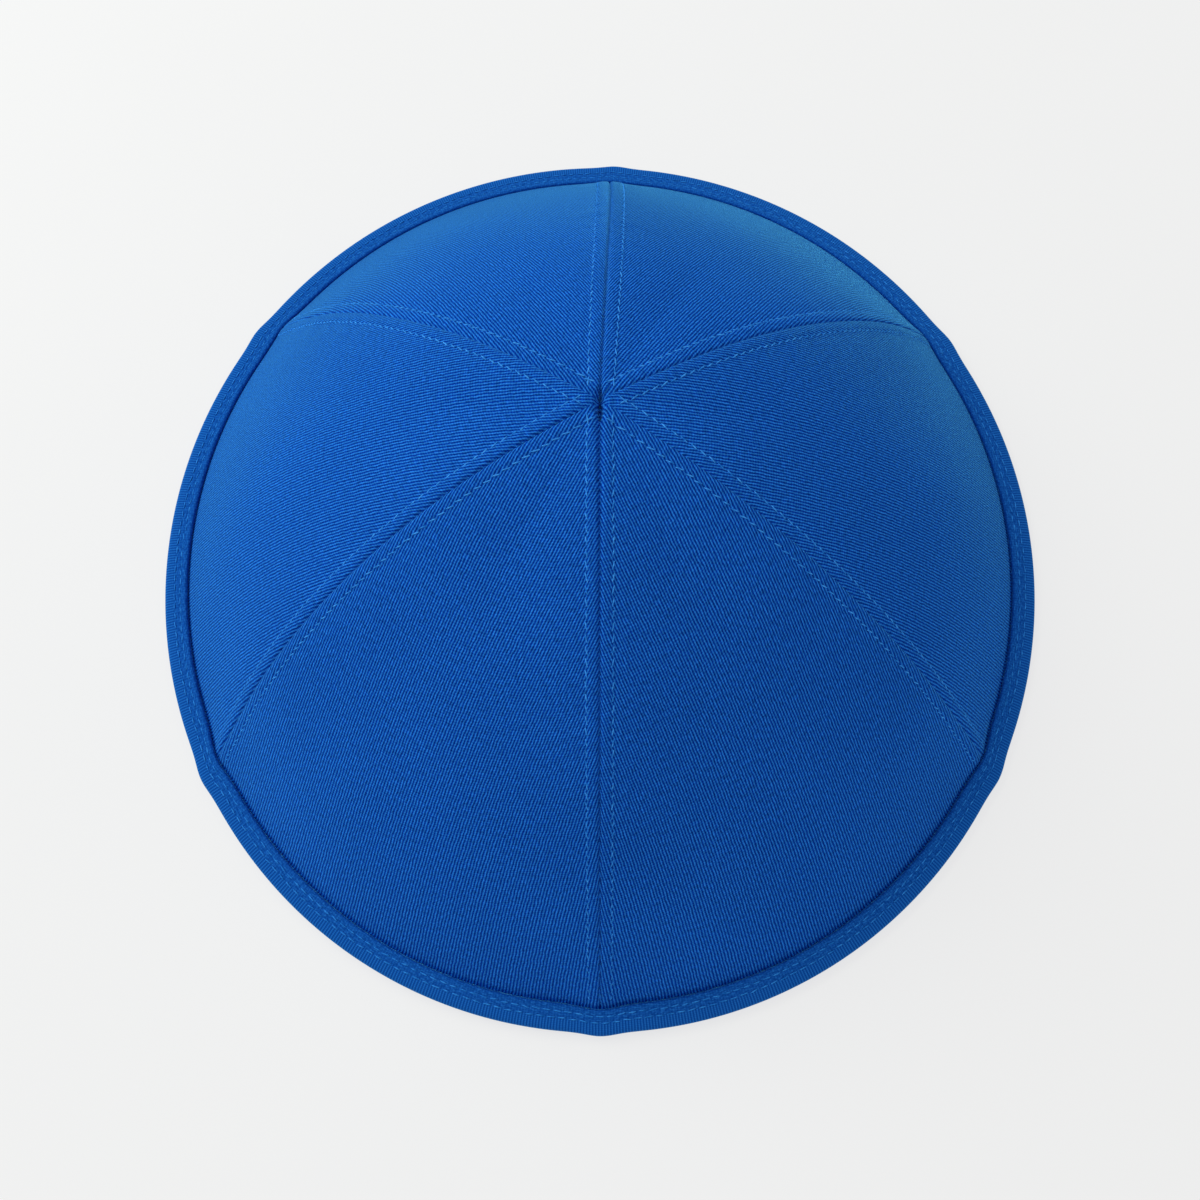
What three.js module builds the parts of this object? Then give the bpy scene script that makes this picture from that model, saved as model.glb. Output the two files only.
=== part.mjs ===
// A cloth skullcap sewn from six panels, resting on its bound rim.
// Millimetres. +Z is up, +Y points to the back of the cap, +X to the right of someone facing its front.
// The origin is the middle of the rim, on the surface that the cap rests on.
import * as THREE from 'three';

// The crown, measured on the outer face of its cloth. Its foot is the crease above the binding.
const FOOT_HALF_WIDTH = 84;
const FOOT_HALF_LENGTH = 89;
const CROWN_RISE = 52.8;
// Share of the drop that falls in the last stretch, where the wall steepens towards the crease.
const FOOT_TUCK = 0.08;
// How far the middle of a panel lies inside the round dome that the seams follow.
const PANEL_FLATNESS = 1.2;
// Half width of the small opening where the six tips meet.
const TIP_RADIUS = 1.6;
// Shares of the half width that the strips keep to near the tip, where the panel is narrower than they are.
const TIP_STRIP_EDGE = 0.45;
const TIP_STRIP_FOOT = 0.6;

// Wall of the panels' cloth, and the gap kept between neighbouring pieces.
const CLOTH_WALL = 1;
const GAP = 0.3;

// The allowances folded under each seam lift a stitched strip of cloth along both its sides.
const STRIP_WIDTH = 2.5;
const STRIP_FADE = 1;
const STRIP_LIFT = 0.3;

// The binding is a tape folded over a flange at the foot of the panels. Its top slopes down outwards.
const TAPE_WALL = 1;
const TAPE_START = 0.3;
const FLANGE_REACH = 1.6;
const BINDING_REACH = 5.1;
const EDGE_RADIUS = 1.3;
const TAPE_SLOPE = THREE.MathUtils.degToRad(24);

// The thick seam ends push the crease out in a soft swell, and the binding's outer edge in a flat bump.
const FOOT_PUSH = 0.8;
const FOOT_PUSH_SPREAD = 4.5;
const FOOT_PUSH_HEIGHT = 7;
const SEAM_BUMP = 0.55;
const SEAM_BUMP_WIDTH = 2.2;
const SEAM_BUMP_FADE = 2.2;

// One row for each panel, in order round the cap, with the azimuths of its first seam in degrees from +X
// towards +Y: at the apex, at the crease, and of the bump that the seam's end makes in the binding's edge.
const PANELS = [
  { name: 'panel_right', apex: -32.0, crease: -29.5, bump: -31.8 },
  { name: 'panel_back_right', apex: 29.8, crease: 31.5, bump: 29.4 },
  { name: 'panel_back_left', apex: 87.3, crease: 88.5, bump: 87.7 },
  { name: 'panel_left', apex: 147.9, crease: 146.7, bump: 149.1 },
  { name: 'panel_front_left', apex: 207.5, crease: 209.5, bump: 212.1 },
  { name: 'panel_front_right', apex: 269.9, crease: 270.0, bump: 270.1 },
];
const FULL_TURN = 360;

// Colours of the two cloths.
const TWILL_BLUE = 0x155cb8;
const TAPE_BLUE = 0x1152a8;
const CLOTH_ROUGHNESS = 0.9;

// How finely the curved walls are divided.
const HALF_COLUMNS = 7;
const CROWN_ROWS = 15;
const BINDING_COLUMNS = 22;
const ROUND_EDGE_STEPS = 8;

// Heights that follow from the layers of the rim: tape, flange and tape, with a gap between each.
const FLANGE_BOTTOM = TAPE_WALL + GAP;
const FOOT_HEIGHT = FLANGE_BOTTOM + CLOTH_WALL;
const SLOT_TOP = FOOT_HEIGHT + GAP;
const SLOT_REACH = FLANGE_REACH + GAP;
const TIP_SHARE = TIP_RADIUS / FOOT_HALF_WIDTH;
const UP = new THREE.Vector3(0, 0, 1);

// The level direction straight out from the oval foot of the crown.
function outward(angle) {
  const x = Math.cos(angle) / FOOT_HALF_WIDTH;
  const y = Math.sin(angle) / FOOT_HALF_LENGTH;
  return new THREE.Vector3(x, y, 0).normalize();
}

// One of the columns of the table for a panel's two seams. The last panel ends at the first one's seam.
function seamPair(panel, column) {
  const next = PANELS.indexOf(panel) + 1;
  const second = next < PANELS.length ? PANELS[next][column] : PANELS[0][column] + FULL_TURN;
  return [panel[column], second];
}

// The azimuths of a panel's two seams at a share of the way out from the apex to the crease.
function seamAzimuths(panel, share) {
  const atCrease = seamPair(panel, 'crease');
  return seamPair(panel, 'apex').map((apex, side) => THREE.MathUtils.lerp(apex, atCrease[side], share ** 2));
}

// The angle at a place across a span of azimuths, from -1 at its start to 1 at its end.
function spanAngle([start, end], across) {
  return THREE.MathUtils.degToRad((start + end) / 2 + (across * (end - start)) / 2);
}

// Distance along the foot from an angle to the nearest seam, in one of the columns of the table.
function seamDistance(angle, column) {
  const turns = PANELS.map((panel) => {
    const turn = angle - THREE.MathUtils.degToRad(panel[column]);
    return Math.abs(Math.atan2(Math.sin(turn), Math.cos(turn)));
  });
  return Math.min(...turns) * FOOT_HALF_WIDTH;
}

// How far a seam end pushes the crease out.
function footPush(angle) {
  return FOOT_PUSH * Math.exp(-((seamDistance(angle, 'crease') / FOOT_PUSH_SPREAD) ** 2));
}

// How far a seam end pushes the binding's outer edge out.
function edgeBump(angle) {
  const fadeEnd = SEAM_BUMP_WIDTH + SEAM_BUMP_FADE;
  const distance = seamDistance(angle, 'bump');
  return SEAM_BUMP * (1 - THREE.MathUtils.smoothstep(distance, SEAM_BUMP_WIDTH, fadeEnd));
}

// A point of the crease, the oval where the crown meets the binding.
function creasePoint(angle) {
  const x = FOOT_HALF_WIDTH * Math.cos(angle);
  const y = FOOT_HALF_LENGTH * Math.sin(angle);
  return new THREE.Vector3(x, y, FOOT_HEIGHT).addScaledVector(outward(angle), footPush(angle));
}

// Height of the round dome over the crease. The share is 0 at the apex and 1 at the crease.
function domeRise(share) {
  return CROWN_RISE * (1 - (1 - FOOT_TUCK) * share ** 2 - FOOT_TUCK * share ** 6);
}

// The dome's outward normal, from the slope of its rise.
function domeNormal(angle, share) {
  const slope = CROWN_RISE * (2 * (1 - FOOT_TUCK) * share + 6 * FOOT_TUCK * share ** 5);
  const x = (slope * Math.cos(angle)) / FOOT_HALF_WIDTH;
  const y = (slope * Math.sin(angle)) / FOOT_HALF_LENGTH;
  return new THREE.Vector3(x, y, 1).normalize();
}

// A point on a panel without its seam strips. Across runs from -1 at its first seam to 1 at its second.
function crownPoint(angle, share, across) {
  const x = FOOT_HALF_WIDTH * share * Math.cos(angle);
  const y = FOOT_HALF_LENGTH * share * Math.sin(angle);
  const sunk = PANEL_FLATNESS * (1 - across ** 2) * 4 * share * (1 - share);
  const point = new THREE.Vector3(x, y, FOOT_HEIGHT + domeRise(share));
  const push = footPush(angle) * Math.exp(-(((point.z - FOOT_HEIGHT) / FOOT_PUSH_HEIGHT) ** 2));
  return point.addScaledVector(domeNormal(angle, share), -sunk).addScaledVector(outward(angle), push);
}

// Distance of a column from the nearer seam, on a row of a given half width. Column 0 is at the seam,
// 1 at the edge of its strip, 2 at the foot of the strip, and the last one in the middle of the panel.
function columnInset(column, halfWidth) {
  const stripEdge = Math.min(STRIP_WIDTH, TIP_STRIP_EDGE * halfWidth);
  const stripFoot = Math.min(STRIP_WIDTH + STRIP_FADE, TIP_STRIP_FOOT * halfWidth);
  if (column < 2) return column * stripEdge;
  return THREE.MathUtils.lerp(stripFoot, halfWidth, (column - 2) / (HALF_COLUMNS - 2));
}

// The place across a span of azimuths of one of a panel's columns, leaving half a gap along each seam.
// Steps count from the panel's middle, and are negative towards its first seam.
function acrossAt([start, end], step, share) {
  const halfWidth = (THREE.MathUtils.degToRad(end - start) / 2) * share * FOOT_HALF_WIDTH;
  const inset = columnInset(HALF_COLUMNS - Math.abs(step), halfWidth);
  const clearance = (GAP / 2) * (1 - inset / halfWidth);
  return Math.sign(step) * (1 - (inset + clearance) / halfWidth);
}

// Outer and inner points down one column of a panel, from the flange's edge up to the tip.
function panelColumn(panel, step) {
  const footSpan = seamAzimuths(panel, 1);
  const footAngle = spanAngle(footSpan, acrossAt(footSpan, step, 1));
  const lift = HALF_COLUMNS - Math.abs(step) < 2 ? STRIP_LIFT : 0;
  const crease = creasePoint(footAngle);
  const flangeEdge = crease.clone().addScaledVector(outward(footAngle), FLANGE_REACH);
  const bend = domeNormal(footAngle, 1).add(UP).normalize();
  const outer = [flangeEdge, crease];
  const inner = [
    flangeEdge.clone().addScaledVector(UP, -CLOTH_WALL),
    crease.clone().addScaledVector(bend, -CLOTH_WALL / bend.z),
  ];
  for (let row = 1; row <= CROWN_ROWS; row += 1) {
    const share = THREE.MathUtils.lerp(1, TIP_SHARE, row / CROWN_ROWS);
    const span = seamAzimuths(panel, share);
    const across = acrossAt(span, step, share);
    const angle = spanAngle(span, across);
    const point = crownPoint(angle, share, across);
    const normal = domeNormal(angle, share);
    outer.push(point.clone().addScaledVector(normal, lift));
    inner.push(point.addScaledVector(normal, -CLOTH_WALL));
  }
  return { outer, inner };
}

// An indexed geometry from a list of points and a list of corner numbers.
function meshGeometry(points, corners) {
  const geometry = new THREE.BufferGeometry();
  geometry.setFromPoints(points);
  geometry.setIndex(corners);
  geometry.computeVertexNormals();
  return geometry;
}

// A closed wall between an outer and an inner grid of columns, with all four borders filled.
function closedWall(columns) {
  const rows = columns[0].outer.length;
  const points = columns.flatMap((column) => [...column.outer, ...column.inner]);
  const corners = [];
  const outer = (column, row) => column * 2 * rows + row;
  const inner = (column, row) => outer(column, row) + rows;
  const quad = (a, b, c, d) => corners.push(a, b, c, a, c, d);
  const lastColumn = columns.length - 1;
  const lastRow = rows - 1;
  for (let i = 0; i < lastColumn; i += 1) {
    for (let j = 0; j < lastRow; j += 1) {
      quad(outer(i, j), outer(i + 1, j), outer(i + 1, j + 1), outer(i, j + 1));
      quad(inner(i, j), inner(i, j + 1), inner(i + 1, j + 1), inner(i + 1, j));
    }
    quad(inner(i, 0), inner(i + 1, 0), outer(i + 1, 0), outer(i, 0));
    quad(outer(i, lastRow), outer(i + 1, lastRow), inner(i + 1, lastRow), inner(i, lastRow));
  }
  for (let j = 0; j < lastRow; j += 1) {
    quad(outer(0, j), outer(0, j + 1), inner(0, j + 1), inner(0, j));
    quad(inner(lastColumn, j), inner(lastColumn, j + 1), outer(lastColumn, j + 1), outer(lastColumn, j));
  }
  return meshGeometry(points, corners);
}

// One panel of the crown.
function panelGeometry(panel) {
  const columns = [];
  for (let step = -HALF_COLUMNS; step <= HALF_COLUMNS; step += 1) {
    columns.push(panelColumn(panel, step));
  }
  return closedWall(columns);
}

// Section of the folded tape, anticlockwise: flat underside, round outer edge, sloping top, then the slot
// that holds the flange. Edge is 1 on the outer edge and 0 on the tape beside the crease.
function bindingSection() {
  const roundTurn = Math.PI - TAPE_SLOPE;
  const section = [{ out: TAPE_START, height: 0, edge: 0 }];
  for (let step = 0; step <= ROUND_EDGE_STEPS; step += 1) {
    const turn = (roundTurn * step) / ROUND_EDGE_STEPS;
    const out = BINDING_REACH - EDGE_RADIUS + EDGE_RADIUS * Math.sin(turn);
    section.push({ out, height: EDGE_RADIUS - EDGE_RADIUS * Math.cos(turn), edge: 1 });
  }
  const roundEnd = section[section.length - 1];
  const lipHeight = roundEnd.height + (roundEnd.out - TAPE_START) * Math.tan(TAPE_SLOPE);
  section.push(
    { out: TAPE_START, height: lipHeight, edge: 0 },
    { out: TAPE_START, height: SLOT_TOP, edge: 0 },
    { out: SLOT_REACH, height: SLOT_TOP, edge: 0 },
    { out: SLOT_REACH, height: TAPE_WALL, edge: 0 },
    { out: TAPE_START, height: TAPE_WALL, edge: 0 },
  );
  return section;
}

// A point of the binding: out from the oval of the crease and up from the surface below.
function bindingPoint(angle, { out, height, edge }) {
  const push = THREE.MathUtils.lerp(footPush(angle), edgeBump(angle), edge);
  const x = FOOT_HALF_WIDTH * Math.cos(angle);
  const y = FOOT_HALF_LENGTH * Math.sin(angle);
  return new THREE.Vector3(x, y, height).addScaledVector(outward(angle), out + push);
}

// The whole binding: the section carried round the crease and joined to its own start. Its stations are
// closest together at the bumps.
function bindingGeometry() {
  const section = bindingSection();
  const points = [];
  for (const panel of PANELS) {
    for (let step = 0; step < BINDING_COLUMNS; step += 1) {
      const angle = spanAngle(seamPair(panel, 'bump'), -Math.cos((Math.PI * step) / BINDING_COLUMNS));
      points.push(...section.map((corner) => bindingPoint(angle, corner)));
    }
  }
  const stations = PANELS.length * BINDING_COLUMNS;
  const at = (station, corner) => (station % stations) * section.length + (corner % section.length);
  const corners = [];
  for (let i = 0; i < stations; i += 1) {
    for (let k = 0; k < section.length; k += 1) {
      corners.push(at(i, k), at(i + 1, k), at(i + 1, k + 1));
      corners.push(at(i, k), at(i + 1, k + 1), at(i, k + 1));
    }
  }
  return meshGeometry(points, corners);
}

// A named piece with its own cloth material.
function clothPiece(name, geometry, color) {
  const material = new THREE.MeshStandardMaterial({ color, roughness: CLOTH_ROUGHNESS, metalness: 0 });
  const piece = new THREE.Mesh(geometry, material);
  piece.name = name;
  return piece;
}

const skullcap = new THREE.Group();
for (const panel of PANELS) {
  skullcap.add(clothPiece(panel.name, panelGeometry(panel), TWILL_BLUE));
}
skullcap.add(clothPiece('rim_binding', bindingGeometry(), TAPE_BLUE));

export default skullcap;
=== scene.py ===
# %% [markdown]
# # A cloth skullcap of six panels
# The cap is a shallow dome of royal blue cotton twill. Six panels meet at the apex, every seam is
# topstitched on both sides, and a narrow ribbed tape binds the rim, which lies on the table.
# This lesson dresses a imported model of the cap: each plain solid is replaced by finely modelled cloth
# that keeps its size and place. The frame is loaded first, because everything is measured from it.

# %% Load the frame
import math
from collections import namedtuple
from functools import lru_cache

import bmesh
import bpy
import numpy as np
from mathutils import Matrix, Vector, noise


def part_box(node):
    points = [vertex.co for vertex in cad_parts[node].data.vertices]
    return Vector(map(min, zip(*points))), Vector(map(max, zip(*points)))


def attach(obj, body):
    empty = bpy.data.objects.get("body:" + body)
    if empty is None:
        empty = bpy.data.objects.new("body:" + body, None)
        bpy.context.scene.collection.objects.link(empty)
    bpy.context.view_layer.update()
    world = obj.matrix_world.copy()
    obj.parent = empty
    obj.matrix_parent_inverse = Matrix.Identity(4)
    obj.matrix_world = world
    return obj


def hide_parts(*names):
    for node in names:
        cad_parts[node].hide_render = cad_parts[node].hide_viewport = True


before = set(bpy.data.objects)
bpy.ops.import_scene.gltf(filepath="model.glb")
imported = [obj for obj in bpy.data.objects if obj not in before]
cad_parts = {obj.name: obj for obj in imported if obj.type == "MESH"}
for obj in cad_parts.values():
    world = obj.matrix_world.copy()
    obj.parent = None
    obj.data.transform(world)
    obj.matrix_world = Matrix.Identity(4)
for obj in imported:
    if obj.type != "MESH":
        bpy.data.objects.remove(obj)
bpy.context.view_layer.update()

print("solids:", ", ".join(sorted(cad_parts)))

# %% [markdown]
# ## Sizes of the crown
# The crown's foot is an oval crease just inside the binding. Its two half sizes, its height and the
# height of the apex all follow from the boxes of the solids, less the reach of the binding.
# Only what a box cannot tell is stated here, such as the reach of the tape and the azimuths of the seams.

# %% Measure the crown
MM = 0.001
BINDING_REACH = 5.1 * MM
SEAM_BUMP = 0.55 * MM
SOLID_WALL = 1.0 * MM
SOLID_STRIP_LIFT = 0.3 * MM
FOOT_TUCK = 0.08
PANEL_FLATNESS = 1.2 * MM

# One row for each panel, in order round the cap. The azimuths of its first seam are in degrees from +X
# towards +Y: at the apex, at the crease, and of the bump in the binding's edge. Groove is how deep that
# seam lies in millimetres, step how far the panel before it stands up beside it near the apex, stand how
# much of the thread's height shows above the cloth, and lean the turn of the panel's weave in degrees.
Panel = namedtuple("Panel", "name apex crease bump groove step stand lean")
PANELS = (
    Panel("panel_right", -32.0, -30.8, -31.8, 0.18, 0.00, 0.75, 0),
    Panel("panel_back_right", 29.8, 31.5, 29.4, 0.24, 0.00, 0.62, 5),
    Panel("panel_back_left", 87.3, 88.5, 87.7, 0.42, 0.00, 0.72, -6),
    Panel("panel_left", 147.9, 146.7, 149.1, 0.20, 0.00, 0.75, 0),
    Panel("panel_front_left", 207.5, 210.8, 212.1, 0.28, 0.13, 0.60, 0),
    Panel("panel_front_right", 269.9, 270.0, 270.1, 0.48, 0.00, 0.55, 0),
)

rim_low, rim_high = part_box("rim_binding")
panel_low, panel_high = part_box("panel_front_left")
FOOT_HALF_WIDTH = rim_high.x - BINDING_REACH
FOOT_HALF_LENGTH = -rim_low.y - BINDING_REACH - SEAM_BUMP
FOOT_HEIGHT = panel_low.z + SOLID_WALL
CROWN_RISE = panel_high.z - SOLID_STRIP_LIFT - FOOT_HEIGHT
print("crease in mm: {:.1f} by {:.1f}".format(2000 * FOOT_HALF_WIDTH, 2000 * FOOT_HALF_LENGTH))
print("crown in mm: {:.1f} above the crease".format(1000 * CROWN_RISE))

# %% [markdown]
# ## Camera
# The photograph was taken from close by, in front of the cap and well above it. The place and the lens
# were found by laying the rim and the six seams of the model over those in the picture.

# %% Place the camera
CAMERA_PLACE = Vector((0, -70.05, 175.09)) * MM
CAMERA_ELEVATION = 72.19
CAMERA_LENS = 27.0
SENSOR_WIDTH = 36.0
NEAREST_SIGHT = 10 * MM

camera_data = bpy.data.cameras.new("photo_camera")
camera_data.lens = CAMERA_LENS
camera_data.sensor_width = SENSOR_WIDTH
camera_data.clip_start = NEAREST_SIGHT
camera = bpy.data.objects.new("photo_camera", camera_data)
camera.location = CAMERA_PLACE
camera.rotation_euler = (math.radians(90 - CAMERA_ELEVATION), 0, 0)
bpy.context.collection.objects.link(camera)
bpy.context.scene.camera = camera
print("camera:", [round(1000 * c) for c in CAMERA_PLACE], "mm, lens", CAMERA_LENS)

# %% [markdown]
# ## Light
# A white studio surrounds the cap, so half of the light comes evenly from all sides. One soft lamp stands
# near by on the left and behind, rather low, so the left wall and the back are the brightest. Its light is
# a trace green, as daylight through window glass is. The plain colour transform keeps the blue as
# saturated as the dye is.

# %% Light the studio
STUDIO_STRENGTH = 0.555
LAMP_COLOUR = (0.94, 1.0, 0.96)

scene = bpy.context.scene
scene.view_settings.view_transform = "Standard"
scene.view_settings.look = "None"

world = bpy.data.worlds.new("white_studio")
world.use_nodes = True
surround = world.node_tree.nodes["Background"]
surround.inputs["Color"].default_value = (1, 1, 1, 1)
surround.inputs["Strength"].default_value = STUDIO_STRENGTH
scene.world = world


def soft_lamp(name, azimuth, elevation, distance, size, power):
    """A square lamp that looks at the middle of the cap from an azimuth and elevation in degrees."""
    turn, lift = math.radians(azimuth), math.radians(elevation)
    away = Vector((math.cos(turn) * math.cos(lift), math.sin(turn) * math.cos(lift), math.sin(lift)))
    data = bpy.data.lights.new(name, "AREA")
    data.shape = "SQUARE"
    data.size = size
    data.energy = power
    data.color = LAMP_COLOUR
    lamp = bpy.data.objects.new(name, data)
    lamp.location = away * distance
    lamp.rotation_euler = away.to_track_quat("Z", "Y").to_euler()
    bpy.context.collection.objects.link(lamp)


soft_lamp("window_lamp", azimuth=145, elevation=32, distance=0.9, size=0.72, power=6.15)
print("studio: 1 lamp and a white surround")

# %% [markdown]
# ## Tools for materials
# Every material here is a small tree of nodes. A few helpers keep the recipes short: each makes one kind of
# node, fills in its settings and returns the socket that the next one reads. Stripes have a pitch in
# millimetres. The Wave Texture repeats once in a twentieth of a full turn of its own unit, which is where
# the odd factor comes from. All the cloth has the same tint of sheen, and no gloss.

# %% Make node helpers
WAVE_UNIT = math.tau / 20
SHEEN_TINT = (0.12, 0.63, 1.0)


def add_node(tree, kind, sockets=(), **settings):
    """A new node with its settings, and with values given to its input sockets by name or number."""
    node = tree.nodes.new(kind)
    for name, value in settings.items():
        setattr(node, name, value)
    for socket, value in dict(sockets).items():
        node.inputs[socket].default_value = value
    return node


def stripes(tree, coordinates, pitch, waver=0.0, detail=2.0):
    """Stripes across X of the coordinates, which are in millimetres; returns a socket from 0 to 1."""
    wave = add_node(tree, "ShaderNodeTexWave", wave_type="BANDS", bands_direction="X")
    wave.inputs["Scale"].default_value = WAVE_UNIT / pitch
    wave.inputs["Distortion"].default_value = waver
    wave.inputs["Detail"].default_value = detail
    wave.inputs["Detail Scale"].default_value = 1.0
    tree.links.new(coordinates, wave.inputs["Vector"])
    return wave.outputs["Fac"]


def turned(tree, coordinates, degrees=0.0, scale=(1, 1, 1)):
    """The same coordinates, turned about Z and stretched."""
    mapping = add_node(tree, "ShaderNodeMapping")
    mapping.inputs["Rotation"].default_value = (0, 0, math.radians(degrees))
    mapping.inputs["Scale"].default_value = scale
    tree.links.new(coordinates, mapping.inputs["Vector"])
    return mapping.outputs["Vector"]


def speckle(tree, coordinates, scale, detail=2.0):
    """Soft random patches from 0 to 1."""
    cloud = add_node(tree, "ShaderNodeTexNoise", {"Scale": scale, "Detail": detail})
    tree.links.new(coordinates, cloud.inputs["Vector"])
    return cloud.outputs["Fac"]


def blended(tree, first, second, share):
    """One number from two, mixed with a fixed share of the second."""
    mix = add_node(tree, "ShaderNodeMix", {0: share}, data_type="FLOAT")
    tree.links.new(first, mix.inputs[2])
    tree.links.new(second, mix.inputs[3])
    return mix.outputs[0]


def ranged(tree, value, start, end, low=0.0, high=1.0):
    """A number that goes from low to high while the given one goes from start to end."""
    limits = {"From Min": start, "From Max": end, "To Min": low, "To Max": high}
    spread = add_node(tree, "ShaderNodeMapRange", limits)
    tree.links.new(value, spread.inputs["Value"])
    return spread.outputs["Result"]


def axis(tree, coordinates, name):
    """One of the three coordinates, by its letter."""
    parts = add_node(tree, "ShaderNodeSeparateXYZ")
    tree.links.new(coordinates, parts.inputs["Vector"])
    return parts.outputs[name]


def coloured(tree, value, stops):
    """A colour ramp over a number: each stop is a place from 0 to 1 and a linear colour."""
    ramp = add_node(tree, "ShaderNodeValToRGB")
    elements = ramp.color_ramp.elements
    while len(elements) < len(stops):
        elements.new(0.5)
    for element, (place, colour) in zip(elements, stops):
        element.position = place
        element.color = (*colour, 1)
    tree.links.new(value, ramp.inputs["Fac"])
    return ramp.outputs["Color"]


def tinted(tree, colour, tint):
    """A colour multiplied by a grey or coloured tint."""
    mix = add_node(tree, "ShaderNodeMix", {0: 1.0}, data_type="RGBA", blend_type="MULTIPLY")
    tree.links.new(colour, mix.inputs[6])
    tree.links.new(tint, mix.inputs[7])
    return mix.outputs[2]


def raised(tree, height, distance, strength=1.0):
    """A bump from a height, whose full step is the given distance in metres."""
    bump = add_node(tree, "ShaderNodeBump", {"Strength": strength, "Distance": distance})
    tree.links.new(height, bump.inputs["Height"])
    return bump.outputs["Normal"]


def new_cloth(name, roughness, sheen, sheen_roughness):
    """An empty cloth material: a matt surface with the soft sheen of fibre ends."""
    material = bpy.data.materials.new(name)
    material.use_nodes = True
    surface = material.node_tree.nodes["Principled BSDF"]
    surface.inputs["Roughness"].default_value = roughness
    surface.inputs["Specular IOR Level"].default_value = 0.0
    surface.inputs["Sheen Weight"].default_value = sheen
    surface.inputs["Sheen Roughness"].default_value = sheen_roughness
    surface.inputs["Sheen Tint"].default_value = (*SHEEN_TINT, 1)
    return material, material.node_tree, surface


print("material helpers ready")

# %% [markdown]
# ## Floor
# The cap lies on a plain pale table top. As a light table does, it glows by itself for most of its
# brightness, so it looks evenly pale and only a faint shadow of the cap falls on it.

# %% Lay the floor
FLOOR_HALF_SIZE = 4.0
FLOOR_GLOW = 0.69
FLOOR_GREYS = (0.205, 0.215)


def floor_material():
    """The pale table top: two greys that hardly differ, and a glow."""
    material = bpy.data.materials.new("pale_table")
    material.use_nodes = True
    tree = material.node_tree
    surface = tree.nodes["Principled BSDF"]
    surface.inputs["Roughness"].default_value = 0.9
    surface.inputs["Specular IOR Level"].default_value = 0.1
    place = add_node(tree, "ShaderNodeTexCoord").outputs["Object"]
    dark, light = ((grey,) * 3 for grey in FLOOR_GREYS)
    pale = coloured(tree, speckle(tree, place, 6.0), ((0.3, dark), (0.7, light)))
    tree.links.new(pale, surface.inputs["Base Color"])
    surface.inputs["Emission Color"].default_value = (1, 1, 1, 1)
    surface.inputs["Emission Strength"].default_value = FLOOR_GLOW
    return material


floor_bm = bmesh.new()
bmesh.ops.create_grid(floor_bm, x_segments=1, y_segments=1, size=FLOOR_HALF_SIZE)
floor_mesh = bpy.data.meshes.new("floor")
floor_bm.to_mesh(floor_mesh)
floor_bm.free()
floor_mesh.materials.append(floor_material())
floor = bpy.data.objects.new("floor", floor_mesh)
bpy.context.collection.objects.link(floor)
print("floor: {:.0f} m square".format(2 * FLOOR_HALF_SIZE))

# %% [markdown]
# ## Twill
# Twill shows fine raised lines, the wales, half a millimetre apart. On this cap they run along the middle
# of each panel and meet the seams in a chevron. Each wale is a row of short slanting floats, so a second,
# weaker set of stripes crosses the first, and the yarn's own grain breaks both. The dye is navy between
# the wales and lighter on them. Broad faint clouds keep it from looking flat. The pattern reads the
# panel's own UV map, which is in millimetres of flat cloth. Deep in the crease at the foot, where hardly
# any light gets in, painted shade darkens the colour to navy.

# %% Mix the twill
WALE_PITCH = 0.505
FLOAT_PITCH = 0.43
FLOAT_SLANT = 76
FLOAT_SHARE = 0.20
GRAIN_SHARE = 0.46
TWILL_RELIEF = 0.18 * MM
# Painted shade: between these two heights above the crease, the colour darkens to a navy tint that stands
# in for the shade deep in the crease. The tape's lip takes the same tint.
CREASE_SHADE_BOTTOM = FOOT_HEIGHT
CREASE_SHADE_TOP = FOOT_HEIGHT + 0.6 * MM
CREASE_PAINTED_SHADE = (0.3, 0.6, 0.8)
NO_TINT = (1, 1, 1)


def twill_material():
    """Royal blue cotton twill."""
    material, tree, surface = new_cloth("royal_twill", roughness=0.8, sheen=0.85, sheen_roughness=0.24)
    cloth = add_node(tree, "ShaderNodeUVMap", uv_map="cloth").outputs["UV"]
    wales = stripes(tree, cloth, WALE_PITCH, waver=2.0, detail=4.0)
    floats = stripes(tree, turned(tree, cloth, FLOAT_SLANT), FLOAT_PITCH, waver=3.0, detail=4.0)
    grain = speckle(tree, turned(tree, cloth, scale=(1.5, 1.0, 1)), 3.0, detail=3.0)
    weave = blended(tree, blended(tree, wales, floats, FLOAT_SHARE), grain, GRAIN_SHARE)
    dyed = coloured(tree, weave, (
        (0.26, (0.0010, 0.019, 0.265)),
        (0.50, (0.0045, 0.083, 0.460)),
        (0.76, (0.0240, 0.222, 0.730)),
    ))
    slubs = speckle(tree, turned(tree, cloth, scale=(3.0, 1.3, 1)), 1.0)
    clouds = speckle(tree, cloth, 0.04)
    slub_shade = coloured(tree, slubs, ((0.35, (0.76,) * 3), (0.65, (1.24,) * 3)))
    cloud_shade = coloured(tree, clouds, ((0.3, (0.95,) * 3), (0.7, (1.04,) * 3)))
    clouded = tinted(tree, tinted(tree, dyed, slub_shade), cloud_shade)
    # Painted shade: near the foot of the crown, the colour is multiplied by the crease tint according to
    # height.
    height = axis(tree, add_node(tree, "ShaderNodeTexCoord").outputs["Object"], "Z")
    depth = ranged(tree, height, CREASE_SHADE_BOTTOM, CREASE_SHADE_TOP)
    painted_shade = coloured(tree, depth, ((0, CREASE_PAINTED_SHADE), (1, NO_TINT)))
    tree.links.new(tinted(tree, clouded, painted_shade), surface.inputs["Base Color"])
    tree.links.new(raised(tree, weave, TWILL_RELIEF), surface.inputs["Normal"])
    return material


TWILL = twill_material()
print("twill:", len(TWILL.node_tree.nodes), "nodes")
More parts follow.
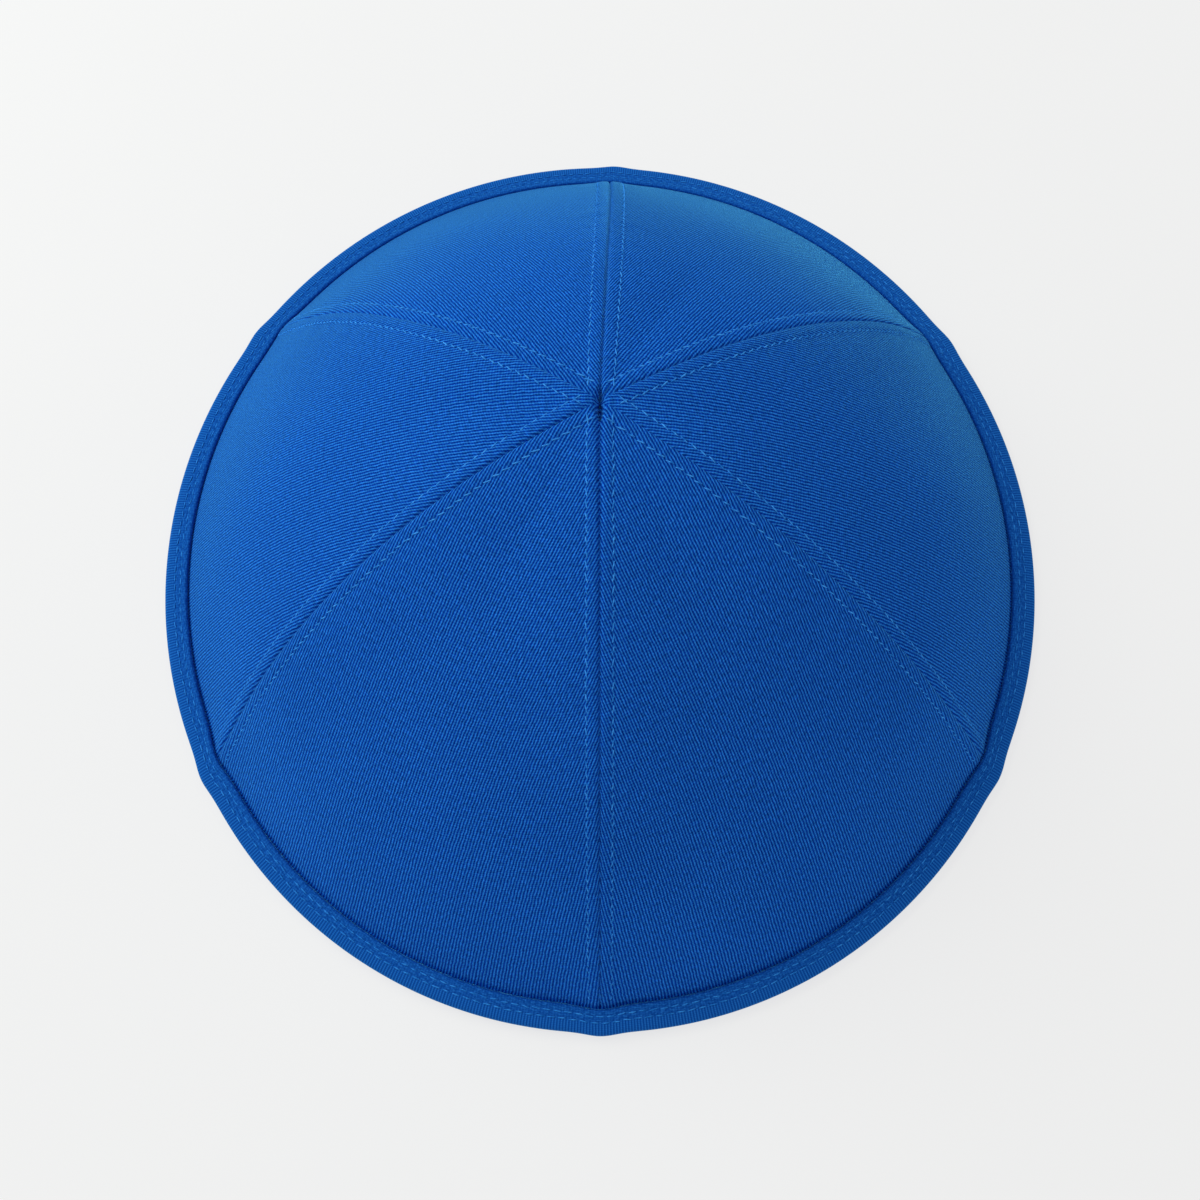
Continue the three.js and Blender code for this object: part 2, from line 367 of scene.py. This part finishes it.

# %% [markdown]
# ## Tape and thread
# The binding is a ribbed tape: fine ribs cross it from edge to edge, half a millimetre apart. Two rows of
# stitches pucker its inner half, so there the ribs are broken by small uneven patches. The thread is only
# a little lighter than the cloth, which is why the rows of stitching hardly show. Where the tape's lip
# turns down into the crease, painted shade darkens its colour to navy.

# %% Mix the tape and the thread
RIB_PITCH = 0.5
PICK_PITCH = 0.32
PUCKER_START = 8.3
PUCKER_FULL = 8.9
PUCKER_SHARE = 0.7
PICK_SHARE = 0.25
TAPE_RELIEF = 0.10 * MM
THREAD_RELIEF = 0.03 * MM
# Painted shade: across the tape from here on, the lip turns into the crease and its colour is darkened by
# the crease tint.
FOLD_SHADE_START = 10.75
FOLD_SHADE_END = 11.2


def tape_material():
    """Ribbed blue binding tape; its UV map runs along the rim in X and across the tape in Y."""
    material, tree, surface = new_cloth("ribbed_tape", roughness=0.8, sheen=0.95, sheen_roughness=0.30)
    cloth = add_node(tree, "ShaderNodeUVMap", uv_map="cloth").outputs["UV"]
    ribs = stripes(tree, cloth, RIB_PITCH, waver=0.6)
    picks = stripes(tree, turned(tree, cloth, 90), PICK_PITCH, waver=0.8)
    weave = blended(tree, ribs, picks, PICK_SHARE)
    across = axis(tree, cloth, "Y")
    pucker = speckle(tree, turned(tree, cloth, 20, scale=(1.1, 2.6, 1)), 1.4, detail=3.0)
    broken = add_node(tree, "ShaderNodeMix", data_type="FLOAT")
    tree.links.new(ranged(tree, across, PUCKER_START, PUCKER_FULL, 0, PUCKER_SHARE), broken.inputs[0])
    tree.links.new(weave, broken.inputs[2])
    tree.links.new(ranged(tree, pucker, 0.36, 0.66), broken.inputs[3])
    dyed = coloured(tree, broken.outputs[0], (
        (0.15, (0.0034, 0.062, 0.325)),
        (0.55, (0.0074, 0.096, 0.432)),
        (0.90, (0.0155, 0.158, 0.560)),
    ))
    # Painted shade on the lip's inner face, where it turns down into the crease.
    painted_shade = coloured(tree, ranged(tree, across, FOLD_SHADE_START, FOLD_SHADE_END), ((0, NO_TINT), (1, CREASE_PAINTED_SHADE)))
    tree.links.new(tinted(tree, dyed, painted_shade), surface.inputs["Base Color"])
    tree.links.new(raised(tree, broken.outputs[0], TAPE_RELIEF, 0.7), surface.inputs["Normal"])
    return material


def thread_material(name, dark, light):
    """Blue sewing thread, whose fibres vary between two colours."""
    material, tree, surface = new_cloth(name, roughness=0.6, sheen=0.1, sheen_roughness=0.3)
    place = add_node(tree, "ShaderNodeTexCoord").outputs["Object"]
    fibres = speckle(tree, place, 1500.0)
    dyed = coloured(tree, fibres, ((0.3, dark), (0.7, light)))
    tree.links.new(dyed, surface.inputs["Base Color"])
    tree.links.new(raised(tree, fibres, THREAD_RELIEF, 0.6), surface.inputs["Normal"])
    return material


TAPE = tape_material()
SEAM_THREAD = thread_material("seam_thread", (0.008, 0.14, 0.55), (0.065, 0.38, 0.96))
RIM_THREAD = thread_material("rim_thread", (0.007, 0.13, 0.50), (0.040, 0.30, 0.82))
print("tape and thread:", len(TAPE.node_tree.nodes) + len(SEAM_THREAD.node_tree.nodes), "nodes")

# %% [markdown]
# ## The form of the dome
# All the seams follow one smooth dome over an oval foot. Going out from the apex, its height falls as the
# square of the distance, with a last steeper stretch towards the crease, except round the back, where the
# wall leans in more softly. The panels sag a little between the seams, so the dome has six soft ridges.
# A few functions say where any point of the crown lies.

# %% Describe the dome
BACK_SOFTNESS = 1.2


def dome(angle, share):
    """Point and outward normal of the dome. The share is 0 at the apex and 1 at the crease."""
    tuck = FOOT_TUCK * (1 - BACK_SOFTNESS * max(math.sin(angle), 0))
    rise = CROWN_RISE * (1 - (1 - tuck) * share**2 - tuck * share**6)
    slope = CROWN_RISE * (2 * (1 - tuck) * share + 6 * tuck * share**5)
    x, y = math.cos(angle), math.sin(angle)
    point = Vector((FOOT_HALF_WIDTH * share * x, FOOT_HALF_LENGTH * share * y, FOOT_HEIGHT + rise))
    normal = Vector((slope * x / FOOT_HALF_WIDTH, slope * y / FOOT_HALF_LENGTH, 1))
    return point, normal.normalized()


def outward(angle):
    """The level direction straight out from the crease."""
    return Vector((math.cos(angle) / FOOT_HALF_WIDTH, math.sin(angle) / FOOT_HALF_LENGTH, 0)).normalized()


def foot_radius(angle):
    """Distance from the middle of the cap to its crease."""
    return math.hypot(FOOT_HALF_WIDTH * math.cos(angle), FOOT_HALF_LENGTH * math.sin(angle))


def eased(value, start, end):
    """0 before start, 1 after end, and a smooth step between."""
    part = min(max((value - start) / (end - start), 0), 1)
    return part * part * (3 - 2 * part)


# Length of cloth from the crease up to each share, for the stitches and the weave.
MERIDIAN_SHARES = np.linspace(1, 0, 400)
meridian = np.array([dome(0, share)[0] for share in MERIDIAN_SHARES])
steps = np.linalg.norm(np.diff(meridian, axis=0), axis=1)
MERIDIAN_RUNS = np.concatenate(([0], np.cumsum(steps)))


@lru_cache(maxsize=None)
def run_at(share):
    """Length of cloth from the crease up to a share."""
    return float(np.interp(-share, -MERIDIAN_SHARES, MERIDIAN_RUNS))


def share_at(run):
    """The share that lies a length of cloth above the crease."""
    return float(np.interp(run, MERIDIAN_RUNS, MERIDIAN_SHARES))


MERIDIAN_LENGTH = float(MERIDIAN_RUNS[-1])
print("cloth from crease to apex in mm: {:.1f}".format(1000 * MERIDIAN_LENGTH))

# %% [markdown]
# ## Relief of the seams
# A seam joins two panels face to face. Its allowances are pressed open underneath and stitched down, so
# a strip two millimetres wide stands up on each side, dips along its row of stitches and rolls down
# into a narrow groove at the seam. Towards the rim the strips at the back spread. Between the stiff seams
# the cloth sags a little. At the foot the thick seam ends push the crown and the binding out.
# Where the six tips meet, the long seam from front to back gapes in a short slit, and its front half
# stays a little open for some way down. The four short seams flatten out just before the apex.

# %% Describe the relief
STRIP_WIDTH = 1.8 * MM
STRIP_FADE = 0.9 * MM
STRIP_LIFT = 0.20 * MM
BACK_WIDENING = 0.38
SEAM_ROLL = 0.12 * MM
ROLL_FOR_DEPTH = 0.4
SEAM_CALM = 6.0 * MM
RIM_CALM = 0.6
OPEN_GAIN = 0.5
STITCH_PULL = 0.45
LONG_SEAM = (2, 5)
TIP_CALM = (1.0 * MM, 4.5 * MM)
SAG_SPREAD = 11 * MM
STITCH_INSET = 2.1 * MM
STITCH_PITCH = 1.7 * MM
STITCH_SINK = 0.13 * MM
STITCH_SPREAD = 0.36 * MM
PUCKER = 0.09 * MM
PUCKER_LENGTH = 4.0 * MM
PUCKER_SPREAD = 4.0 * MM
FOOT_PUSH = 0.8 * MM
FOOT_PUSH_SPREAD = 4.5 * MM
FOOT_PUSH_HEIGHT = 7.0 * MM
BACK_EASE = 0.5
APEX_LIFT = 0.4 * MM
APEX_SPREAD = 6.0 * MM
FRONT_SEAM = 5
OPEN_LENGTH = 26 * MM
STEP_LENGTH = 45 * MM
SLIT_MIDDLE = -0.4 * MM
SLIT_HALF_LENGTH = 2.9 * MM
SLIT_HALF_WIDTH = 0.68 * MM
SLIT_DEPTH = 1.5 * MM
SLIT_TAPER = 1.05
DRAPE = 0.25 * MM
DRAPE_LENGTH = 32 * MM


def seam_pair(panel, column):
    """One column of the table for a panel's two seams, in radians. The last panel ends at the first."""
    number = PANELS.index(panel) + 1
    second = getattr(PANELS[number % len(PANELS)], column)
    return math.radians(getattr(panel, column)), math.radians(second) + math.tau * (number == len(PANELS))


@lru_cache(maxsize=None)
def span(panel, share):
    """Middle and half of the angle between a panel's two seams, at a share of the way to the crease."""
    pairs = zip(seam_pair(panel, "apex"), seam_pair(panel, "crease"))
    first, second = (apex + (crease - apex) * share**2 for apex, crease in pairs)
    return (first + second) / 2, (second - first) / 2


def bell(distance, spread):
    """1 at no distance, falling smoothly to nothing past about two spreads."""
    return math.exp(-((distance / spread) ** 2))


def backness(angle):
    """1 at the middle of the back, falling to 0 at the sides and staying 0 at the front."""
    return max(math.sin(angle), 0) ** 2


def row_spread(angle, share):
    """How much wider than at the apex a seam's strips are: those at the back spread towards the rim."""
    return 1 + BACK_WIDENING * (1 - (1 - share) ** 2) * backness(angle)


def seam_relief(distance, spread, run, depth, openness):
    """Height of the cloth over the plain panel, by the distance from its seam and the place along it."""
    calm = RIM_CALM + (1 - RIM_CALM) * eased(run, 0, SEAM_CALM)
    beside = distance / spread
    strip = STRIP_LIFT * (1 - eased(beside, STRIP_WIDTH, STRIP_WIDTH + STRIP_FADE))
    roll = (SEAM_ROLL + ROLL_FOR_DEPTH * depth) * (1 + OPEN_GAIN * openness)
    groove = depth * (1 + OPEN_GAIN * openness) * bell(distance, roll)
    pull = 1 + STITCH_PULL * math.cos(math.tau * run / STITCH_PITCH)
    dip = STITCH_SINK * pull * bell(beside - STITCH_INSET, STITCH_SPREAD)
    return calm * (strip - groove - dip)


def foot_push(distance, angle):
    """How far a seam end pushes the foot of the crown out, by the distance along the rim."""
    return FOOT_PUSH * (1 - BACK_EASE * backness(angle)) * bell(distance, FOOT_PUSH_SPREAD)


def slit_depth(point):
    """Depth of the slit at the apex."""
    along = (point.y - SLIT_MIDDLE) / SLIT_HALF_LENGTH
    if abs(along) >= 1:
        return 0.0
    return SLIT_DEPTH * (1 - along**4) * bell(point.x, SLIT_HALF_WIDTH * (SLIT_TAPER - along**2))


def crown_surface(panel, angle, share):
    """A point on the outer face of a panel's cloth."""
    middle, half = span(panel, share)
    offset = abs(angle - middle)
    side = int(angle > middle)
    number = (PANELS.index(panel) + side) % len(PANELS)
    seam = PANELS[number]
    distance = (half - offset) * share * foot_radius(angle)
    run = run_at(share)
    point, normal = dome(angle, share)
    apart = math.hypot(point.x, point.y)
    sag = PANEL_FLATNESS * (1 - bell(distance, SAG_SPREAD)) * (1 - share**10)
    openness = (1 - eased(apart, 0, OPEN_LENGTH)) if number == FRONT_SEAM else 0
    shown = 1 if number in LONG_SEAM else eased(apart, *TIP_CALM)
    relief = shown * seam_relief(distance, row_spread(angle, share), run, seam.groove * MM, openness)
    step = side * seam.step * MM * (1 - eased(distance, 0, STRIP_WIDTH + STRIP_FADE))
    step *= eased(apart, *TIP_CALM) * (1 - eased(apart, 0, STEP_LENGTH))
    pucker = PUCKER * bell(distance - STITCH_INSET, PUCKER_SPREAD) * eased(distance, 0, STITCH_INSET)
    wave = noise.noise(Vector((run / PUCKER_LENGTH, 10 * number + side, 0)))
    drape = DRAPE * noise.noise(point / DRAPE_LENGTH) * share * (1 - share**8)
    lift = relief + APEX_LIFT * bell(apart, APEX_SPREAD) + step + pucker * wave + drape
    lift -= sag + slit_depth(point)
    push = foot_push(distance, angle) * bell(point.z - FOOT_HEIGHT, FOOT_PUSH_HEIGHT)
    return point + normal * lift + outward(angle) * push


print("relief: strips {:.1f} mm wide, stitches {:.2f} mm apart".format(
    STRIP_WIDTH / MM, STITCH_PITCH / MM))

# %% [markdown]
# ## Panels
# Each panel starts as a flat grid. Its columns are spread so that they crowd towards the seams, where the
# relief is fine, and every point is then moved to its place on the crown. The lowest rows turn outwards
# into a flange that the tape holds. Neighbours overlap by a hair, so that no light shines through a seam.
# A Solidify modifier gives the cloth its thickness, inwards. The UV map is the flat cloth in millimetres,
# whose wales spread a little where the foot of the panel is stretched.

# %% Sew the panels
COLUMNS = 68
FLANGE_ROWS = 4
CROWN_ROWS = 210
FLANGE_REACH = 1.9 * MM
TIP_SHARE = 0.0004
SEAM_OVERLAP = 0.01 * MM
MOST_OVERLAP = 0.1
CLOTH_WALL = 0.7 * MM
FOOT_SPREAD = 0.7
SPREAD_START = 0.5


def new_piece(name, bm, material):
    """Makes the mesh an object of the cap, with its material, and lets it ride on the cap's one body."""
    mesh = bpy.data.meshes.new(name)
    bm.to_mesh(mesh)
    bm.free()
    mesh.shade_smooth()
    mesh.materials.append(material)
    piece = bpy.data.objects.new(name, mesh)
    bpy.context.collection.objects.link(piece)
    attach(piece, "root")
    return piece


def panel_place(panel, across, row):
    """Angle, share and flange reach of a grid point. Across runs from -1 to 1, rows up from the rim."""
    climbed = max(row - FLANGE_ROWS, 0) / CROWN_ROWS
    share = 1 + (TIP_SHARE - 1) * climbed
    middle, half = span(panel, share)
    crowded = 1 - (1 - abs(across)) ** 2
    overlap = min(SEAM_OVERLAP / (share * foot_radius(middle)), MOST_OVERLAP)
    angle = middle + math.copysign((half + overlap) * crowded, across)
    return angle, share, FLANGE_REACH * max(1 - row / FLANGE_ROWS, 0)


def cloth_place(panel, angle, share, reach):
    """Place on the flat cloth in millimetres: aside from the panel's middle, and up from the crease."""
    spread = share - FOOT_SPREAD * max(share - SPREAD_START, 0) ** 2
    aside = (angle - span(panel, share)[0]) * spread * foot_radius(angle)
    up = run_at(share) - reach
    turn = math.radians(panel.lean)
    return ((aside * math.cos(turn) - up * math.sin(turn)) / MM,
            (aside * math.sin(turn) + up * math.cos(turn)) / MM)


def sew_panel(panel):
    """One panel of the crown, with a UV map in millimetres of its flat cloth."""
    bm = bmesh.new()
    rows = FLANGE_ROWS + CROWN_ROWS
    bmesh.ops.create_grid(bm, x_segments=COLUMNS, y_segments=rows, size=1)
    cloth = bm.loops.layers.uv.new("cloth")
    flat = {}
    for vert in bm.verts:
        row = round((vert.co.y + 1) / 2 * rows)
        angle, share, reach = panel_place(panel, vert.co.x, row)
        vert.co = crown_surface(panel, angle, share) + outward(angle) * reach
        flat[vert] = cloth_place(panel, angle, share, reach)
    for face in bm.faces:
        for loop in face.loops:
            loop[cloth].uv = flat[loop.vert]
    piece = new_piece("twill_" + panel.name, bm, TWILL)
    wall = piece.modifiers.new("cloth_wall", "SOLIDIFY")
    wall.thickness = CLOTH_WALL
    wall.offset = -1
    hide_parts(panel.name)
    return piece


panels = {panel.name: sew_panel(panel) for panel in PANELS}
print("panels:", len(panels), "with", len(panels["panel_left"].data.polygons), "faces each")

# %% [markdown]
# ## Topstitching
# Two rows of stitches follow each seam, one on each panel. A stitch is one short stretch of thread that
# dives into the cloth at both ends, so a stretched ball of a few dozen faces, half sunk in the dip of the
# cloth, is close to its real form. Each lies slightly slanted across its row, as machine stitches do, and
# no two lie quite alike. Along some seams, and towards the rim, the thread is pulled deeper into the cloth
# and shows less.

# %% Stitch the seams
THREAD_WIDTH = 0.26 * MM
THREAD_HEIGHT = 0.26 * MM
STITCH_SHARE = 0.78
STITCH_SLANT = 0.17 * MM
STITCH_JITTER = 0.12 * MM
RIM_SINK = 0.16
APEX_GAP = 2.7 * MM
CREASE_GAP = 1.2 * MM

ball_bm = bmesh.new()
bmesh.ops.create_uvsphere(ball_bm, u_segments=6, v_segments=5, radius=0.5)
BALL = bpy.data.meshes.new("thread_ball")
ball_bm.to_mesh(BALL)
ball_bm.free()


def lay_stitch(bm, start, end, up):
    """A stretched ball of thread from one point to another; up is the way out of the cloth."""
    along = (end - start).normalized()
    side = up.cross(along).normalized()
    out = along.cross(side)
    size = Vector((THREAD_WIDTH, THREAD_HEIGHT, (end - start).length))
    turn = Matrix((side, out, along)).transposed().to_4x4()
    stitch = BALL.copy()
    stitch.transform(Matrix.Translation((start + end) / 2) @ turn @ Matrix.Diagonal(size).to_4x4())
    bm.from_mesh(stitch)
    bpy.data.meshes.remove(stitch)


def stitch_row(bm, panel, side):
    """One row beside a seam of the panel: side is -1 for its first seam and 1 for its second."""
    seam = (PANELS.index(panel) + (side > 0)) % len(PANELS)
    first = math.ceil(CREASE_GAP / STITCH_PITCH)
    last = math.floor((MERIDIAN_LENGTH - APEX_GAP) / STITCH_PITCH)
    half_length = STITCH_SHARE * STITCH_PITCH / 2
    for number in range(first, last):
        middle_run = (number + 0.5) * STITCH_PITCH
        ends = []
        for end in (-1, 1):
            stray = STITCH_JITTER * noise.noise(Vector((0.73 * number, 3.1 * seam + side, 5 * end)))
            share = share_at(middle_run + end * half_length + stray)
            middle, half = span(panel, share)
            edge = middle + side * half
            inset = STITCH_INSET * row_spread(edge, share) + end * STITCH_SLANT + stray
            angle = edge - side * inset / (share * foot_radius(edge))
            ends.append(crown_surface(panel, angle, share))
        normal = dome(angle, share)[1]
        lift = normal * (THREAD_HEIGHT * (PANELS[seam].stand - 0.5 - RIM_SINK * share**2))
        lay_stitch(bm, ends[0] + lift, ends[1] + lift, normal)
    return last - first


stitched = 0
for panel in PANELS:
    stitch_bm = bmesh.new()
    for side in (-1, 1):
        stitched += stitch_row(stitch_bm, panel, side)
    name = panel.name.replace("panel", "stitches")
    new_piece(name, stitch_bm, SEAM_THREAD)
print("topstitching:", stitched, "stitches")

# %% [markdown]
# ## Binding
# The tape is folded over the flange. Its section has a flat underside, a round outer edge and a top that
# rises gently to a soft lip. A narrow dark crease lies between the lip and the crown. The section is
# drawn once, as arcs and straight lines, and spun into a ring. Each point is then moved to the oval rim.
# There it dips along two rows of stitches and swells where the seam ends lie inside it. Round the back the
# lip is drawn in towards the crown, whose wall leans in there too.

# %% Fold the binding
TAPE_START = 0.3 * MM
TAPE_WALL = 1.0 * MM
SLOT_TOP = 2.42 * MM
SLOT_REACH = 2.5 * MM
EDGE_RADIUS = 1.3 * MM
TAPE_SLOPE = math.radians(8)
LIP_RADIUS = 0.48 * MM
LIP_LEAN = 0.85 * MM
LIP_TURN = math.radians(135)
BACK_DRAW = 0.8 * MM
SEAM_BUMP_SPREAD = 3.4 * MM
BINDING_ROWS = (1.65 * MM, 2.75 * MM)
BINDING_PITCH = 1.9 * MM
BINDING_JITTER = 0.30 * MM
BINDING_SINK = 0.09 * MM
BINDING_SPREAD = 0.35 * MM
BINDING_PUFF = 0.06 * MM
BINDING_PULL = 0.4
PUFF_CHANGE = 0.6
PUFF_WAVES = 14
STATIONS = 1080
TOP_STEPS = 24
ROUND_STEPS = 14
LIP_STEPS = 7
MERGE_DISTANCE = 0.001 * MM
SPIN_RADIUS = FOOT_HALF_WIDTH

EDGE_MIDDLE = BINDING_REACH - EDGE_RADIUS
TOP_NORMAL = (math.sin(TAPE_SLOPE), math.cos(TAPE_SLOPE))
ROUND_END = EDGE_MIDDLE + EDGE_RADIUS * TOP_NORMAL[0]
ROUND_TOP = EDGE_RADIUS * (1 + TOP_NORMAL[1])


def top_height(out):
    """Height of the tape's sloping top."""
    return ROUND_TOP + (ROUND_END - out) * math.tan(TAPE_SLOPE)


def tape_section():
    """Points out from the crease and up from the table, anticlockwise round the folded tape."""
    section = [(TAPE_START, 0.0), ((TAPE_START + EDGE_MIDDLE) / 2, 0.0)]
    for step in range(ROUND_STEPS):
        turn = (math.pi - TAPE_SLOPE) * step / ROUND_STEPS
        section.append((EDGE_MIDDLE + EDGE_RADIUS * math.sin(turn), EDGE_RADIUS * (1 - math.cos(turn))))
    lip_out = LIP_LEAN + LIP_RADIUS * TOP_NORMAL[0]
    lip_height = top_height(lip_out) - LIP_RADIUS * TOP_NORMAL[1]
    for step in range(TOP_STEPS):
        out = ROUND_END + (lip_out - ROUND_END) * step / TOP_STEPS
        section.append((out, top_height(out)))
    for step in range(LIP_STEPS + 1):
        turn = math.pi / 2 - TAPE_SLOPE + LIP_TURN * step / LIP_STEPS
        section.append((LIP_LEAN + LIP_RADIUS * math.cos(turn), lip_height + LIP_RADIUS * math.sin(turn)))
    section += [(TAPE_START, SLOT_TOP), (SLOT_REACH, SLOT_TOP)]
    section += [(SLOT_REACH, TAPE_WALL), (TAPE_START, TAPE_WALL)]
    return section


def seam_distance(angle, column):
    """Distance along the rim to the nearest seam, in one of the columns of the table."""
    azimuths = [math.radians(getattr(panel, column)) for panel in PANELS]
    return min(abs(math.remainder(angle - azimuth, math.tau)) for azimuth in azimuths) * foot_radius(angle)


@lru_cache(maxsize=None)
def seam_pushes(angle):
    """How far the rim is pushed out beside the crown, where the back is drawn in, and at its outer edge."""
    draw = BACK_DRAW * ((1 + math.sin(angle)) / 2) ** 1.5
    bump = SEAM_BUMP * bell(seam_distance(angle, "bump"), SEAM_BUMP_SPREAD)
    return foot_push(seam_distance(angle, "crease"), angle) - draw, bump


def rim_push(angle, out):
    """How far a seam end pushes the tape out, at a reach from the crease."""
    inner, outer = seam_pushes(angle)
    edge = min(max((out - TAPE_START) / (EDGE_MIDDLE - TAPE_START), 0), 1)
    return inner * (1 - edge) + outer * edge


def tape_relief(angle, out):
    """Height of the tape over its plain top: puffed, and dipped at its two rows of stitches."""
    run = angle * (FOOT_HALF_WIDTH + FOOT_HALF_LENGTH) / 2
    pull = 1 + BINDING_PULL * math.cos(math.tau * run / BINDING_PITCH)
    dip = sum(BINDING_SINK * pull * bell(out - row, BINDING_SPREAD) for row in BINDING_ROWS)
    wave = noise.noise(Vector((math.cos(angle), math.sin(angle), 0)) * PUFF_WAVES)
    return BINDING_PUFF * (1 + PUFF_CHANGE * wave) - dip


def rim_point(angle, out, height):
    """A point of the binding, out from the crease and above the table."""
    point = dome(angle, 1)[0]
    point.z = height
    level = outward(angle)
    push = rim_push(angle, out)
    if height > SLOT_TOP and out < ROUND_END:
        relief = tape_relief(angle, out) * (1 - eased(out, ROUND_END - EDGE_RADIUS, ROUND_END))
        push += relief * TOP_NORMAL[0]
        point.z += relief * TOP_NORMAL[1]
    return point + level * (out + push)


def fold_binding():
    """The whole binding, with a UV map in millimetres along the rim and across the tape."""
    section = tape_section()
    steps = [math.dist(first, second) for first, second in zip(section, section[1:])]
    lengths = np.concatenate(([0], np.cumsum(steps))) / MM
    bm = bmesh.new()
    across = bm.verts.layers.float.new("across")
    corners = [bm.verts.new((SPIN_RADIUS + out, 0, height)) for out, height in section]
    for corner, length in zip(corners, lengths):
        corner[across] = length
    edges = [bm.edges.new((corners[i - 1], corners[i])) for i in range(len(corners))]
    bmesh.ops.spin(bm, geom=corners + edges, axis=(0, 0, 1), cent=(0, 0, 0), dvec=(0, 0, 0),
                   angle=math.tau, steps=STATIONS, use_merge=True, use_duplicate=False)
    bmesh.ops.remove_doubles(bm, verts=bm.verts, dist=MERGE_DISTANCE)
    cloth = bm.loops.layers.uv.new("cloth")
    round_trip = math.tau * SPIN_RADIUS / MM
    along = {}
    for vert in bm.verts:
        angle = math.atan2(vert.co.y, vert.co.x) % math.tau
        along[vert] = angle * SPIN_RADIUS / MM
        vert.co = rim_point(angle, math.hypot(vert.co.x, vert.co.y) - SPIN_RADIUS, vert.co.z)
    for face in bm.faces:
        places = [along[loop.vert] for loop in face.loops]
        wraps = max(places) - min(places) > round_trip / 2
        for loop, u in zip(face.loops, places):
            loop[cloth].uv = (u + round_trip if wraps and u < round_trip / 2 else u, loop.vert[across])
    bmesh.ops.recalc_face_normals(bm, faces=bm.faces)
    piece = new_piece("tape_rim_binding", bm, TAPE)
    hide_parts("rim_binding")
    return piece


binding = fold_binding()
print("binding:", len(binding.data.polygons), "faces")

# %% [markdown]
# ## Stitches of the binding
# Two closer rows hold the folded tape, both on its inner half. They are laid as the topstitches were, on
# the tape's own surface, with the second row half a stitch on from the first.

# %% Stitch the binding
RIM_STAND = 0.2

rim_bm = bmesh.new()
rim_count = round(math.tau * (FOOT_HALF_WIDTH + FOOT_HALF_LENGTH) / 2 / BINDING_PITCH)
half_turn = STITCH_SHARE * math.pi / rim_count
for number, row in enumerate(BINDING_ROWS):
    for stitch in range(rim_count):
        middle = math.tau * (stitch + 0.5 * number + 0.5) / rim_count
        ends = []
        for end, turn in enumerate((-half_turn, half_turn)):
            place = row + BINDING_JITTER * noise.noise(Vector((0.83 * (2 * stitch + end), 7 * number, 0)))
            ends.append(rim_point(middle + turn, place, top_height(place)))
        up = outward(middle) * TOP_NORMAL[0] + Vector((0, 0, TOP_NORMAL[1]))
        lift = up * (RIM_STAND * THREAD_HEIGHT)
        lay_stitch(rim_bm, ends[0] + lift, ends[1] + lift, up)
binding_stitches = new_piece("stitches_rim_binding", rim_bm, RIM_THREAD)
print("binding:", len(BINDING_ROWS) * rim_count, "stitches")

# %% [markdown]
# ## Cloth facts
# Each panel was cut flat as a pointed gore, and the binding as one long strip. The sizes of the gores are
# printed, so that someone could sew the cap again. A gore is as long as its middle line
# with the flange, as wide as its arc at the foot, and covers rather more than half of that rectangle.

for panel in PANELS:
    middle, half = span(panel, 1.0)
    width = 2 * half * foot_radius(middle)
    length = MERIDIAN_LENGTH + FLANGE_REACH
    widths = [width * share_at(run) for run in np.linspace(0, MERIDIAN_LENGTH, 200)]
    area = float(np.mean(widths)) * MERIDIAN_LENGTH + width * FLANGE_REACH
    cut_size = "{:.0f} by {:.0f}, {:.1f} square cm".format(width / MM, length / MM, area * 1e4)
    print(panel.name, "cut in mm:", cut_size)
